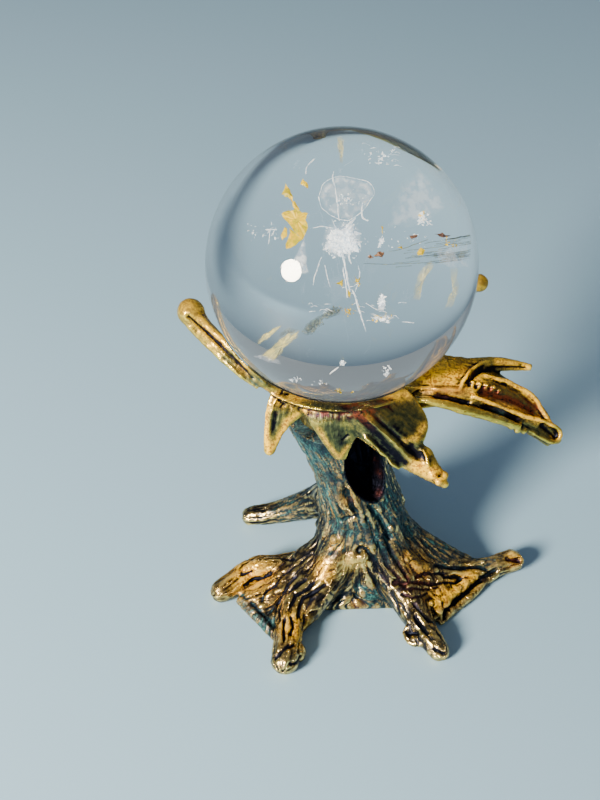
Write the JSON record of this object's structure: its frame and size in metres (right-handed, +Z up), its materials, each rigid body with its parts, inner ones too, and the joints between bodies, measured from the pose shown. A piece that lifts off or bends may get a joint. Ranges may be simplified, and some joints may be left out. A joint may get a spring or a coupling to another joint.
{
  "type": "decorative sphere",
  "caption": "Clear crystal ball with sealed veils and flakes, resting in a cast leaf and twig cradle on a tree trunk stand with spreading roots.",
  "frame": {"origin": "on the table under the trunk, at the centre of the circle through the root tips, on the flat underside", "axes": "+Z up, -Y towards the side the picture shows, +X to the right of the picture"},
  "size_m": [0.0729, 0.0603, 0.105],
  "materials": {
    "crystal_sphere": "polished clear crystal with natural inclusions",
    "leaf_cradle": "antique gold plated casting, bright on edges and olive on the faces",
    "tree_trunk": "antique bronze casting, dark in the grooves with a green patina"
  },
  "bodies": {
    "root": {"crystal_sphere": "crystal_sphere", "leaf_cradle": "leaf_cradle", "tree_trunk": "tree_trunk"}
  },
  "joints": []
}
